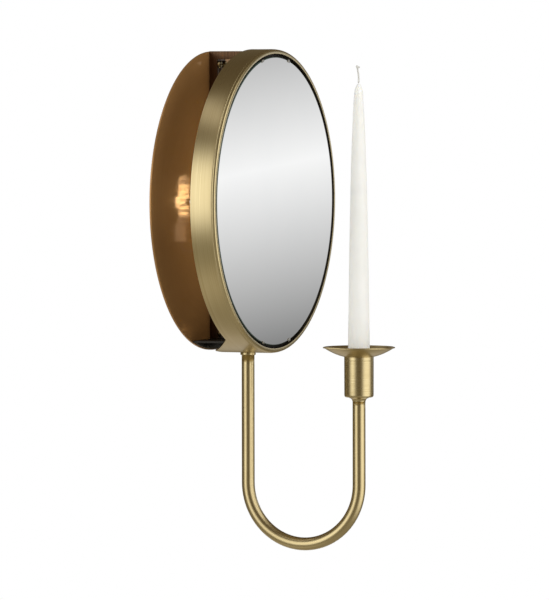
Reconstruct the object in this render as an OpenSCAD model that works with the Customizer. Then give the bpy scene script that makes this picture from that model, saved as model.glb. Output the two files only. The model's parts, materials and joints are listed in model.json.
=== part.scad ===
// Round mirror wall lamp with a candle arm
//
// A round mirror in a brushed brass housing stands off a dark bronze wall plate.
// A lamp behind the mirror lights the plate and the wall. A U-shaped brass tube
// hangs from the bottom of the housing and carries a taper candle in front of the mirror.
//
// Millimetres. The origin is the centre of the backplate's rear face, on the wall.
// +X is to the right seen from the front, +Y goes into the wall, +Z is up.
// The candle, the drip pan and the bulb each lift straight up (+Z) out of their seats.

/* [Housing] */
// Outer diameter of the mirror housing
housing_d = 300; // [240:5:380]
// Distance from the wall to the rear edge of the band
rear_gap = 44; // [38:1:60]
// Width of the band, rear edge to front face
band_w = 26; // [22:1:40]
// Thickness of the spun brass sheet
sheet_t = 1.5; // [1:0.25:2]
// Radius of the band's rolled front edge
edge_r = 3; // [2:0.5:4]
// Radial width of the front lip
lip_w = 4.5; // [4:0.5:8]
// Distance from the wall to the rear end of the tongue
tongue_rear = 14.7; // [8:0.1:24]
// Width of the tongue at its rear end
tongue_end_w = 49; // [30:1:60]
// Width of the tongue where it leaves the band
tongue_root_w = 131; // [80:1:140]

/* [Backplate] */
// How far the backplate's edge is inside the housing's outer radius
plate_inset = 2; // [0:0.5:8]
// Thickness of the backplate
plate_t = 2; // [1.5:0.25:3]
// Distance between the two wall screws
wall_screw_pitch = 110; // [100:5:200]
// Diameter of the wall screw holes
wall_hole_d = 5.5; // [4.5:0.5:7]
// Bore of the cable grommet
cable_d = 8; // [6:0.5:10]
// Sideways position of the cable entry and the terminal block
service_x = 39; // [34:1:60]
// Distance of the cable entry below the centre
cable_drop = 95; // [90:1:100]

/* [Spine and arm bracket] */
// Width of the spine channel
spine_w = 20; // [18:1:30]
// Depth of the spine channel in front of the backplate
spine_depth = 8.6; // [7:0.2:12]
// Sheet thickness of the spine and the arm bracket
steel_t = 2; // [1.5:0.25:2.5]
// Height of the arm bracket's shelf above the bottom of the backplate
shelf_rise = 11; // [10.5:0.5:18]
// Distance of the spine screws from the ends of the spine
spine_screw_inset = 6; // [5:0.5:14]

/* [Mirror] */
// Thickness of the mirror glass
glass_t = 4; // [3:0.5:5]
// Gap between the lip and the edge of the glass
glass_gap = 3.2; // [2:0.2:5]
// Depth of the glass behind the front of the lip
glass_recess = 0.8; // [0.7:0.1:2]
// Angle of the safety clips either side of the vertical
clip_angle = 13; // [8:1:30]

/* [Lamp] */
// Distance from the wall to the bulb's axis
bulb_y = 41; // [36:1:46]
// Diameter of the bulb
bulb_d = 16; // [14:0.5:18]
// Length of the bulb above its holder
bulb_len = 50; // [42:1:60]
// Distance from the bulb's pin to its other pin
pin_pitch = 9; // [8:0.5:10]
// Height of the lampholder's top face, from the centre
holder_top = -24; // [-40:1:-10]

/* [Arm] */
// Outer diameter of the arm tube
arm_d = 12.7; // [10:0.1:16]
// Wall of the arm tube
arm_wall = 1.2; // [1:0.1:1.6]
// Distance from the wall to the arm's rear leg
arm_y = 39; // [34:1:46]
// Distance between the arm's two legs
arm_reach = 119; // [95:1:150]
// Distance from the bottom of the housing down to the centre of the arm's bend
arm_drop = 128.5; // [90:0.5:170]
// Width of the collar's ledge round the tube
collar_ledge = 1.25; // [0.8:0.05:2.5]
// Height of the collar
collar_h = 2.4; // [2:0.1:5]

/* [Candle cup and drip pan] */
// Distance of the cup's rim below the bottom of the housing
cup_rim_drop = 2; // [0:1:30]
// Height of the candle cup
cup_h = 40; // [34:1:50]
// Depth of the candle's seat below the rim
seat_depth = 32; // [24:1:34]
// Wall of the cup beside the drip pan's sleeve
cup_wall = 1.35; // [1.2:0.05:3]
// Height of the flared neck under the cup
neck_h = 4; // [3:0.5:8]
// Diameter of the drip pan
drip_d = 71; // [56:1:90]
// Rise of the drip pan's rim above the cup's rim
drip_rise = 9.3; // [7:0.1:14]
// Sheet thickness of the drip pan
drip_t = 1; // [0.8:0.1:1.5]

/* [Candle] */
// Length of the candle
candle_len = 300; // [200:5:380]
// Diameter of the candle's base
candle_base_d = 22.8; // [18:0.1:28]
// Diameter of the candle below its tip
candle_top_d = 10.4; // [8:0.1:14]
// Length of the wick above the candle
wick_len = 18; // [8:1:24]

/* [Hidden] */
$fn = 96;
eps = 0.01;
seat_gap = 0.02; // between curved faces that are fixed together
slip = 0.6; // radial play of a part that lifts out

ring_r = housing_d / 2;
band_in_r = ring_r - sheet_t;
front_y = rear_gap + band_w;
lip_r = ring_r - lip_w;
glass_r = lip_r - glass_gap;
glass_front = front_y - glass_recess;
glass_back = glass_front - glass_t;
pad_t = 1;
tray_front = glass_back - pad_t;
tray_t = 1.2;
tray_rim = 6;
tray_r = band_in_r - 0.3;
tab_back = tray_front - tray_t - steel_t;

plate_r = ring_r - plate_inset;
web_front = plate_t + spine_depth;
shelf_z = -(plate_r - shelf_rise);
shelf_half = sqrt(pow(band_in_r, 2) - pow(shelf_z - steel_t, 2)) - 2;
web_r = plate_r - 1;
bracket_screw_x = spine_w;
bracket_screw_z = (shelf_z - steel_t - sqrt(pow(web_r, 2) - pow(bracket_screw_x, 2))) / 2;
leg_top = sqrt(pow(band_in_r, 2) - pow(spine_w / 2, 2)) - seat_gap;
leg_front = tray_front - tray_rim - 0.5;
leg_flange = steel_t + spine_screw_inset;
top_screw_y = (rear_gap + leg_front) / 2;
spine_screw_x = spine_w / 2 - 4;
spine_screw_top = leg_top - steel_t - spine_screw_inset - 5;
spine_screw_low = shelf_z + spine_screw_inset;

nipple_d = arm_d - 2 * arm_wall - 2 * seat_gap;
nipple_hole_d = nipple_d + 0.4;
arm_top = -(ring_r + collar_h);
bend_r = arm_reach / 2;
bend_z = -(ring_r + arm_drop);
cup_y = arm_y + arm_reach;
cup_rim = -(ring_r + cup_rim_drop);
cup_base = cup_rim - cup_h;
tube_end = cup_base - neck_h;
seat_z = cup_rim - seat_depth;

bore_r = candle_base_d / 2 + slip;
sleeve_t = 0.8;
sleeve_h = 5;
sleeve_r = bore_r + sleeve_t;
sleeve_bore_r = sleeve_r + 0.35;
cup_r = sleeve_bore_r + cup_wall;
dish_flat_r = cup_r + 1;
dish_rim_r = drip_d / 2;
dish_c = (pow(dish_rim_r, 2) + pow(drip_rise, 2) - pow(dish_flat_r, 2)) / (2 * drip_rise);
dish_sphere_r = sqrt(pow(dish_flat_r, 2) + pow(dish_c, 2));
screw_head_d = 10;
screw_head_h = 3;
cup_screw_d = 6;

holder_h = 18;
holder_w = 20;
holder_deep = 18;
pin_d = 1.2;
holder_back = bulb_y - holder_deep / 2;
bulb_base_h = 7;

block_top = -60;
block_h = 18;
block_pitch = 8;
lead_d = 2.2;
lead_r = lead_d / 2;
earth_x = service_x + 34;
earth_z = block_top - 12;

// ---- helpers ----

// Turns a shape built along +Z so that it points out of the wall.
module out() {
    rotate([90, 0, 0]) children();
}

// A disc from y1 to y2 in front of the wall, at x and z.
module disc(r, y1, y2, x = 0, z = 0) {
    translate([x, 0, z]) out() translate([0, 0, y1]) cylinder(r = r, h = y2 - y1);
}

// A box from y1 to y2 in front of the wall.
module slab(x1, x2, y1, y2, z1, z2) {
    translate([x1, -y2, z1]) cube([x2 - x1, y2 - y1, z2 - z1]);
}

// A vertical cylinder at x, at distance y from the wall.
module post(r, y, z1, z2, x = 0) {
    translate([x, -y, z1]) cylinder(r = r, h = z2 - z1);
}

// A pan head screw pointing into the wall: head outside y, shank behind it.
module wall_screw_part(d, head_d, head_h, y, len, x, z) {
    disc(head_d / 2, y, y + head_h, x, z);
    disc(d / 2, y - len, y + eps, x, z);
}

// A straight length of wire between two points, with round ends, drawn twelve-sided.
module wire(p, q, r) {
    $fn = 12;
    v = q - p;
    len = norm(v);
    translate(p) sphere(r = r);
    translate(q) sphere(r = r);
    translate(p) rotate([0, acos(v[2] / len), atan2(v[1], v[0])]) cylinder(r = r, h = len);
}

// ---- wall side ----

module backplate() {
    color([0.30, 0.19, 0.11])
    difference() {
        disc(plate_r, 0, plate_t);
        for (s = [-1, 1]) {
            disc(wall_hole_d / 2, -1, plate_t + 1, s * wall_screw_pitch / 2, 0);
            disc(2 + seat_gap, -1, plate_t + 1, s * spine_screw_x, spine_screw_top);
            disc(2 + seat_gap, -1, plate_t + 1, s * spine_screw_x, spine_screw_low);
            disc(2 + seat_gap, -1, plate_t + 1, s * bracket_screw_x, bracket_screw_z);
        }
        disc(cable_d / 2 + 2 + seat_gap, -1, plate_t + 1, service_x, -cable_drop);
        disc(1.5 + seat_gap, -1, plate_t + 1, service_x, block_top - block_h / 2);
        disc(2 + seat_gap, -1, plate_t + 1, earth_x, earth_z);
    }
}

// A folded channel that stands on the shelf and turns forward into the top of the band.
module spine() {
    color([0.34, 0.23, 0.13])
    difference() {
        union() {
            difference() {
                slab(-spine_w / 2, spine_w / 2, plate_t, web_front, shelf_z, leg_top);
                slab(-spine_w / 2 + steel_t, spine_w / 2 - steel_t, plate_t - 1,
                     web_front - steel_t, shelf_z - 1, leg_top - steel_t);
            }
            slab(-spine_w / 2, spine_w / 2, web_front - eps, leg_front, leg_top - steel_t, leg_top);
            for (s = [-1, 1])
                translate([s * (spine_w - steel_t) / 2, 0, 0])
                    slab(-steel_t / 2, steel_t / 2, web_front - eps, leg_front,
                         leg_top - leg_flange, leg_top - eps);
        }
        for (s = [-1, 1], z = [spine_screw_low, spine_screw_top])
            disc(2 + 0.2, plate_t, web_front + 1, s * spine_screw_x, z);
        post(2 + 0.2, top_screw_y, leg_top - steel_t - 1, leg_top + 1);
        disc(1.5 + seat_gap, plate_t, web_front + 1, 0, holder_top - holder_h - 4);
    }
}

module spine_screws() {
    color([0.72, 0.66, 0.52])
    for (s = [-1, 1], z = [spine_screw_low, spine_screw_top])
        wall_screw_part(4, 6.8, 2.6, web_front, spine_depth + plate_t, s * spine_screw_x, z);
}

// A black angle: a shelf across the channel's foot and a web down the backplate.
module arm_bracket() {
    color([0.05, 0.05, 0.05])
    difference() {
        union() {
            slab(-shelf_half, shelf_half, plate_t, rear_gap + 8, shelf_z - steel_t, shelf_z);
            intersection() {
                disc(web_r, plate_t, plate_t + steel_t);
                slab(-ring_r, ring_r, 0, 20, -ring_r, shelf_z);
            }
        }
        post(nipple_hole_d / 2, arm_y, shelf_z - 5, shelf_z + 5);
        for (s = [-1, 1])
            disc(2.2, 0, 20, s * bracket_screw_x, bracket_screw_z);
    }
}

module bracket_screws() {
    color([0.08, 0.08, 0.08])
    for (s = [-1, 1])
        wall_screw_part(4, 6, 2.2, plate_t + steel_t, plate_t + steel_t,
                        s * bracket_screw_x, bracket_screw_z);
}

// ---- mirror unit ----

module band_profile() {
    translate([band_in_r, rear_gap]) square([sheet_t, band_w - edge_r]);
    translate([ring_r - edge_r, front_y - edge_r]) intersection() {
        difference() {
            circle(r = edge_r);
            circle(r = edge_r - sheet_t);
        }
        square([edge_r, edge_r]);
    }
    translate([lip_r, front_y - sheet_t]) square([lip_w - edge_r, sheet_t]);
}

// Band, rolled front lip and the tongue that carries the arm, spun from one sheet.
module housing() {
    color([0.78, 0.63, 0.36])
    difference() {
        union() {
            out() rotate_extrude() band_profile();
            intersection() {
                difference() {
                    disc(ring_r, tongue_rear, rear_gap + 2);
                    disc(band_in_r, 0, front_y);
                }
                translate([0, 0, -ring_r - 1]) linear_extrude(height = ring_r) polygon([
                    [-tongue_end_w / 2, -tongue_rear],
                    [tongue_end_w / 2, -tongue_rear],
                    [tongue_root_w / 2, -rear_gap],
                    [tongue_root_w / 2, -rear_gap - 3],
                    [-tongue_root_w / 2, -rear_gap - 3],
                    [-tongue_root_w / 2, -rear_gap]
                ]);
            }
        }
        post(nipple_hole_d / 2, arm_y, -ring_r - 2, -ring_r + 6);
        translate([0, -top_screw_y, ring_r - sheet_t - 1]) cylinder(r = 2.2, h = sheet_t + 2);
        translate([0, -top_screw_y, ring_r - 1.9]) cylinder(r1 = 2.2, r2 = 4.1, h = 1.9 + eps);
    }
}

module top_screw() {
    color([0.78, 0.63, 0.36])
    translate([0, -top_screw_y, 0]) {
        translate([0, 0, ring_r - 1.95]) cylinder(r1 = 2, r2 = 3.9, h = 1.9);
        translate([0, 0, leg_top - steel_t - 5]) cylinder(r = 2, h = ring_r - 1.9 - leg_top + steel_t + 5);
    }
}

module top_nut() {
    color([0.62, 0.62, 0.62])
    difference() {
        translate([0, -top_screw_y, leg_top - steel_t - 3.2]) cylinder(r = 4, h = 3.2, $fn = 6);
        post(2 + seat_gap, top_screw_y, leg_top - steel_t - 5, leg_top);
    }
}

// A shallow black tray behind the glass, with its rim turned to the rear.
module mirror_tray() {
    color([0.06, 0.06, 0.06])
    difference() {
        disc(tray_r, tray_front - tray_rim, tray_front);
        disc(tray_r - tray_t, tray_front - tray_rim - 1, tray_front - tray_t);
        for (a = [45:90:315])
            rotate([0, a, 0]) disc(1.5 + seat_gap, 0, front_y, tray_r - 8, 0);
        for (a = [-clip_angle, clip_angle, 180 - clip_angle, 180 + clip_angle])
            rotate([0, a, 0]) slab(-3, 3, 0, front_y, glass_r + 0.2, glass_r + 1.2);
    }
}

module mirror_pads() {
    color([0.85, 0.85, 0.82])
    for (a = [0:60:300])
        rotate([0, a, 0]) disc(12, tray_front, glass_back, glass_r * 0.62, 0);
}

module mirror_glass() {
    color([0.80, 0.84, 0.86])
    disc(glass_r, glass_back, glass_front);
}

// Small hooks that reach from the tray over the edge of the glass.
module mirror_clips() {
    color([0.70, 0.70, 0.68])
    for (a = [-clip_angle, clip_angle, 180 - clip_angle, 180 + clip_angle])
        rotate([0, a, 0]) {
            slab(-2.5, 2.5, tray_front - tray_t - 0.6, glass_front + 0.6, glass_r + 0.4, glass_r + 1);
            slab(-2.5, 2.5, glass_front, glass_front + 0.6, glass_r - 1.8, glass_r + 1);
            slab(-2.5, 2.5, tray_front - tray_t - 0.6, tray_front - tray_t, glass_r - 3, glass_r + 1);
        }
}

// Angles welded inside the band; the tray is screwed to them.
module retainer_tabs() {
    color([0.55, 0.52, 0.45])
    for (a = [45:90:315])
        rotate([0, a, 0]) difference() {
            intersection() {
                disc(band_in_r - seat_gap, tab_back - 4, tray_front - tray_t);
                slab(band_in_r - 14, band_in_r + 1, tab_back - 4, tray_front - tray_t, -6, 6);
            }
            disc(tray_r - tray_t - 1.2, 0, tab_back, 0, 0);
            difference() {
                disc(ring_r, tab_back - 5, tray_front);
                disc(tray_r - tray_t - 0.1, tab_back - 6, tray_front + 1);
                disc(ring_r + 1, 0, tray_front - tray_rim - 0.2);
            }
            disc(1.7, 0, front_y, tray_r - 8, 0);
        }
}

module retainer_screws() {
    color([0.68, 0.68, 0.66])
    for (a = [45:90:315])
        rotate([0, a, 0]) {
            disc(2.8, tab_back - 2, tab_back, tray_r - 8, 0);
            disc(1.5, tab_back - eps, tray_front, tray_r - 8, 0);
        }
}

// ---- lamp ----

// A stepped strip from the spine to the back of the lampholder.
module holder_bracket() {
    z = holder_top - holder_h;
    color([0.70, 0.70, 0.70])
    difference() {
        union() {
            slab(-7, 7, web_front, web_front + 1.5, z - 9, z + 12);
            slab(-7, 7, web_front, holder_back, z + 10.5, z + 12);
            slab(-7, 7, holder_back - 1.5, holder_back, z + 1, z + 12);
        }
        disc(1.7, web_front - 1, web_front + 2, 0, z - 4);
        disc(1.7, holder_back - 3, holder_back + 1, 0, z + 6);
    }
}

module holder_screws() {
    z = holder_top - holder_h;
    color([0.72, 0.72, 0.70])
    {
        wall_screw_part(3, 5.6, 2, web_front + 1.5, 6, 0, z - 4);
        disc(2.8, holder_back - 3.5, holder_back - 1.5, 0, z + 6);
        disc(1.5, holder_back - 1.5 - eps, holder_back + 4, 0, z + 6);
    }
}

module lampholder() {
    z = holder_top - holder_h;
    color([0.92, 0.90, 0.85])
    difference() {
        intersection() {
            slab(-holder_w / 2, holder_w / 2, holder_back, bulb_y + holder_deep / 2, z, holder_top);
            post(holder_w * 0.62, bulb_y, z, holder_top);
        }
        for (s = [-1, 1]) {
            post(pin_d / 2 + slip, bulb_y, holder_top - 12, holder_top + 1, s * pin_pitch / 2);
            post(lead_r + seat_gap, bulb_y, z - 1, z + 5, s * pin_pitch / 2);
        }
        disc(1.5 + seat_gap, holder_back - 1, holder_back + 4.5, 0, z + 6);
    }
}

module bulb_base() {
    color([0.90, 0.90, 0.88])
    {
        post(bulb_d / 2, bulb_y, holder_top, holder_top + bulb_base_h);
        for (s = [-1, 1])
            post(pin_d / 2, bulb_y, holder_top - 10, holder_top + 1, s * pin_pitch / 2);
    }
}

// The board with its rows of light-emitting chips.
module bulb_core() {
    z0 = holder_top + bulb_base_h;
    z1 = holder_top + bulb_len - 4;
    color([1.0, 0.85, 0.45])
    {
        post(bulb_d / 2 - 3.2, bulb_y, z0, z1);
        for (a = [0:45:315], z = [z0 + 4:6:z1 - 3])
            translate([0, -bulb_y, z]) rotate([0, 0, a])
                translate([bulb_d / 2 - 3.6, -1.4, -1.4]) cube([1.2, 2.8, 2.8]);
    }
}

module bulb_cover() {
    z0 = holder_top + bulb_base_h;
    z1 = holder_top + bulb_len - 3;
    r = bulb_d / 2 - 0.4;
    color([0.95, 0.95, 0.90, 0.4])
    difference() {
        union() {
            post(r, bulb_y, z0, z1);
            translate([0, -bulb_y, z1]) intersection() {
                sphere(r = r);
                cylinder(r = r, h = 3);
            }
        }
        post(r - 1, bulb_y, z0 - 1, z1);
    }
}

// Three poles in a row, screwed to the backplate.
module terminal_block() {
    y1 = plate_t;
    y2 = plate_t + 16;
    color([0.93, 0.92, 0.88])
    difference() {
        slab(service_x - 13, service_x + 13, y1, y2, block_top - block_h, block_top);
        for (i = [-1, 0, 1]) {
            post(lead_r + seat_gap, plate_t + 9, block_top - 6, block_top + 1, service_x + i * block_pitch);
            post(1.8, plate_t + 9, block_top - block_h - 1, block_top - block_h + 6,
                 service_x + i * block_pitch);
            for (z = [block_top - 4, block_top - block_h + 4])
                disc(1.6 + seat_gap, y2 - 4, y2 + 1, service_x + i * block_pitch, z);
        }
        disc(1.5 + seat_gap, 0, y2 + 1, service_x, block_top - block_h / 2);
        disc(2.8 + 0.2, y2 - 3, y2 + 1, service_x, block_top - block_h / 2);
    }
}

module terminal_screws() {
    y2 = plate_t + 16;
    color([0.75, 0.70, 0.55])
    {
        for (i = [-1, 0, 1], z = [block_top - 4, block_top - block_h + 4])
            disc(1.6, y2 - 4, y2 - 0.6, service_x + i * block_pitch, z);
        disc(2.8, y2 - 3, y2 - 1, service_x, block_top - block_h / 2);
        disc(1.5, 0, y2 - 3 + eps, service_x, block_top - block_h / 2);
    }
}

// Earth screw with a square washer.
module earth_terminal() {
    color([0.78, 0.66, 0.36])
    {
        disc(2, 0, plate_t + 6, earth_x, earth_z);
        slab(earth_x - 4.5, earth_x + 4.5, plate_t, plate_t + 1.2, earth_z - 4.5, earth_z + 4.5);
        disc(3.8, plate_t + 1.2 + lead_d, plate_t + 3.8 + lead_d, earth_x, earth_z);
    }
}

module grommet() {
    r = cable_d / 2;
    color([0.05, 0.05, 0.05])
    difference() {
        union() {
            disc(r + 2, 0, plate_t + 2, service_x, -cable_drop);
            disc(r + 4.5, plate_t, plate_t + 2, service_x, -cable_drop);
        }
        disc(r, -1, plate_t + 3, service_x, -cable_drop);
    }
}

// ---- internal leads ----

module lamp_lead(i) {
    x0 = service_x + i * block_pitch;
    x1 = i < 0 ? -pin_pitch / 2 : pin_pitch / 2;
    y0 = -(plate_t + 9);
    z0 = block_top + 5 + (i < 0 ? 0 : 5);
    zb = holder_top - holder_h - 6 - (i < 0 ? 3 : 0);
    a = [x0, y0, block_top - 4.8];
    b = [x0, y0, z0];
    c = [x1, -bulb_y, zb];
    d = [x1, -bulb_y, holder_top - holder_h + 3.8];
    wire(a, b, lead_r);
    wire(b, c, lead_r);
    wire(c, d, lead_r);
}

module live_lead() {
    color([0.36, 0.20, 0.10]) lamp_lead(1);
}

module neutral_lead() {
    color([0.10, 0.30, 0.62]) lamp_lead(-1);
}

module earth_lead() {
    y0 = -(plate_t + 9);
    y1 = -(plate_t + 1.2 + lead_r);
    color([0.45, 0.62, 0.16])
    {
        wire([service_x, y0, block_top - 4.8], [service_x, y0, block_top + 14], lead_r);
        wire([service_x, y0, block_top + 14], [earth_x + 12, y0, block_top + 6], lead_r);
        wire([earth_x + 12, y0, block_top + 6], [earth_x + 10, y1, earth_z], lead_r);
        wire([earth_x + 10, y1, earth_z], [earth_x + 3.2, y1, earth_z], lead_r);
    }
}

// ---- arm ----

// A tube down from the housing, round a half circle and up to the cup.
module arm_path(r, cup_end, root_end) {
    post(r, arm_y, bend_z, root_end);
    post(r, cup_y, bend_z, cup_end);
    translate([0, -(arm_y + bend_r), bend_z]) rotate([90, 0, 90]) rotate([0, 0, 180])
        rotate_extrude(angle = 180) translate([bend_r, 0]) circle(r = r);
}

module arm_tube() {
    color([0.80, 0.66, 0.38])
    difference() {
        arm_path(arm_d / 2, tube_end, arm_top);
        arm_path(arm_d / 2 - arm_wall, tube_end + 1, arm_top + 1);
    }
}

module arm_nipple() {
    color([0.72, 0.64, 0.44])
    post(nipple_d / 2, arm_y, arm_top - 20, shelf_z + 10);
}

// A thin ring between the tongue and the tube.
module arm_collar() {
    color([0.80, 0.66, 0.38])
    difference() {
        post(arm_d / 2 + collar_ledge, arm_y, arm_top, -ring_r);
        post(nipple_d / 2 + seat_gap, arm_y, arm_top - 1, -ring_r + 1);
    }
}

module arm_spacer() {
    r = nipple_d / 2 + 2.2;
    color([0.60, 0.60, 0.58])
    difference() {
        post(r, arm_y, -sqrt(pow(band_in_r, 2) - pow(r, 2)), shelf_z - steel_t);
        post(nipple_d / 2 + seat_gap, arm_y, -ring_r, shelf_z);
    }
}

module arm_washer() {
    color([0.66, 0.66, 0.64])
    difference() {
        post(nipple_d / 2 + 5, arm_y, shelf_z, shelf_z + 1.5);
        post(nipple_d / 2 + 0.2, arm_y, shelf_z - 1, shelf_z + 2);
    }
}

module arm_nut() {
    color([0.72, 0.64, 0.44])
    difference() {
        translate([0, -arm_y, shelf_z + 1.5]) cylinder(r = nipple_d / 2 + 3, h = 5, $fn = 6);
        post(nipple_d / 2 + seat_gap, arm_y, shelf_z, shelf_z + 7);
    }
}

// A plug in the arm's free end, drilled for the cup's screw.
module arm_plug() {
    color([0.72, 0.64, 0.44])
    difference() {
        post(arm_d / 2 - arm_wall - seat_gap, cup_y, tube_end - 14, tube_end);
        post(cup_screw_d / 2 + seat_gap, cup_y, tube_end - 15, tube_end + 1);
    }
}

// ---- candle cup ----

module cup_neck() {
    r1 = arm_d / 2 + 0.2;
    r2 = cup_r - 5;
    color([0.80, 0.66, 0.38])
    difference() {
        translate([0, -cup_y, tube_end]) cylinder(r1 = r1, r2 = max(r2, r1 + 1), h = neck_h);
        post(cup_screw_d / 2 + 0.2, cup_y, tube_end - 1, cup_base + 1);
    }
}

module cup_profile() {
    round_r = 3;
    difference() {
        union() {
            translate([0, round_r]) square([cup_r, cup_h - round_r]);
            square([cup_r - round_r, cup_h]);
            translate([cup_r - round_r, round_r]) circle(r = round_r);
        }
        translate([-cup_r, -1]) square([cup_r, cup_h + 2]);
    }
}

module candle_cup() {
    color([0.80, 0.66, 0.38])
    difference() {
        translate([0, -cup_y, cup_base]) rotate_extrude() cup_profile();
        post(bore_r, cup_y, seat_z, cup_rim + 1);
        post(sleeve_bore_r, cup_y, cup_rim - sleeve_h - 1, cup_rim + 1);
        post(screw_head_d / 2 + 0.3, cup_y, seat_z - screw_head_h - 0.4, seat_z + 1);
        post(cup_screw_d / 2 + 0.2, cup_y, cup_base - 1, seat_z);
    }
}

module cup_screw() {
    z = seat_z - screw_head_h - 0.4;
    color([0.72, 0.64, 0.44])
    {
        post(screw_head_d / 2, cup_y, z, z + screw_head_h);
        post(cup_screw_d / 2, cup_y, tube_end - 12, z + eps);
    }
}

// A shallow spherical dish with a hole that its sleeve fills.
module drip_pan() {
    color([0.80, 0.66, 0.38])
    translate([0, -cup_y, cup_rim]) difference() {
        union() {
            intersection() {
                difference() {
                    translate([0, 0, dish_c]) sphere(r = dish_sphere_r);
                    translate([0, 0, dish_c]) sphere(r = dish_sphere_r - drip_t);
                }
                cylinder(r = dish_rim_r, h = drip_rise);
            }
            cylinder(r = dish_flat_r, h = drip_t);
        }
        translate([0, 0, -1]) cylinder(r = sleeve_r, h = drip_rise);
    }
}

// Turned ring brazed into the pan's hole; it drops into the cup's counterbore.
module pan_sleeve() {
    color([0.80, 0.66, 0.38])
    difference() {
        post(sleeve_r, cup_y, cup_rim - sleeve_h, cup_rim + drip_t);
        post(bore_r, cup_y, cup_rim - sleeve_h - 1, cup_rim + drip_t + 1);
    }
}

// ---- candle ----

module candle() {
    color([0.96, 0.95, 0.92])
    translate([0, -cup_y, seat_z]) rotate_extrude() polygon([
        [0, 0],
        [candle_base_d / 2, 0],
        [candle_base_d / 2 * 0.86, candle_len * 0.38],
        [candle_base_d * 0.25 + candle_top_d * 0.11, candle_len * 0.78],
        [candle_top_d / 2, candle_len - 10],
        [candle_top_d / 2 * 0.72, candle_len - 4],
        [candle_top_d / 2 * 0.35, candle_len - 1],
        [0, candle_len]
    ]);
}

module wick() {
    color([0.90, 0.88, 0.80])
    difference() {
        post(0.9, cup_y, seat_z + candle_len - 2, seat_z + candle_len + wick_len);
        candle();
    }
}

backplate();
spine();
spine_screws();
arm_bracket();
bracket_screws();
housing();
top_screw();
top_nut();
mirror_tray();
mirror_pads();
mirror_glass();
mirror_clips();
retainer_tabs();
retainer_screws();
holder_bracket();
holder_screws();
lampholder();
bulb_base();
bulb_core();
bulb_cover();
terminal_block();
terminal_screws();
earth_terminal();
grommet();
live_lead();
neutral_lead();
earth_lead();
arm_tube();
arm_nipple();
arm_collar();
arm_spacer();
arm_washer();
arm_nut();
arm_plug();
cup_neck();
candle_cup();
cup_screw();
drip_pan();
pan_sleeve();
candle();
wick();
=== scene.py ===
import json
import math

import bpy
import bmesh
from mathutils import Matrix, Vector

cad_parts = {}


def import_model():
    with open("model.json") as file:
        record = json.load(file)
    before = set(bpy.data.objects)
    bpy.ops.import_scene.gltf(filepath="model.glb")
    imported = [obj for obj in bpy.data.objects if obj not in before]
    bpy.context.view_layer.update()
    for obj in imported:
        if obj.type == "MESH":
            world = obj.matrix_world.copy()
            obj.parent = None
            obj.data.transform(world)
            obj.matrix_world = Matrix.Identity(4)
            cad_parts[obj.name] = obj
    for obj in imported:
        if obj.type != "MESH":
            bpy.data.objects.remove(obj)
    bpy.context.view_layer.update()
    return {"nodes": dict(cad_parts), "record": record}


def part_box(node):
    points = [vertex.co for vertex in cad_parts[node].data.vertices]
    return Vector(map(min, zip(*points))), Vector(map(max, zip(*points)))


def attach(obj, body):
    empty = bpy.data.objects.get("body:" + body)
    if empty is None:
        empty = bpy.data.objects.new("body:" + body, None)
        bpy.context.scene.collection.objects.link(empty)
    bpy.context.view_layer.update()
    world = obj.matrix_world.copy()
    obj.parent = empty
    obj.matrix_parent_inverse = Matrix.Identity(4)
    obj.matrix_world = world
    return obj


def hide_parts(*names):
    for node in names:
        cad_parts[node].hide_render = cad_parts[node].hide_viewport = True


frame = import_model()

MM = 0.001
NODES = frame["nodes"]
RECORD = frame["record"]
BODY_OF = {n: b for b, ns in RECORD["behaviour"]["bodies"].items() for n in ns}
COLLECTION = bpy.context.scene.collection

# ---------------------------------------------------------------- node helpers


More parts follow.
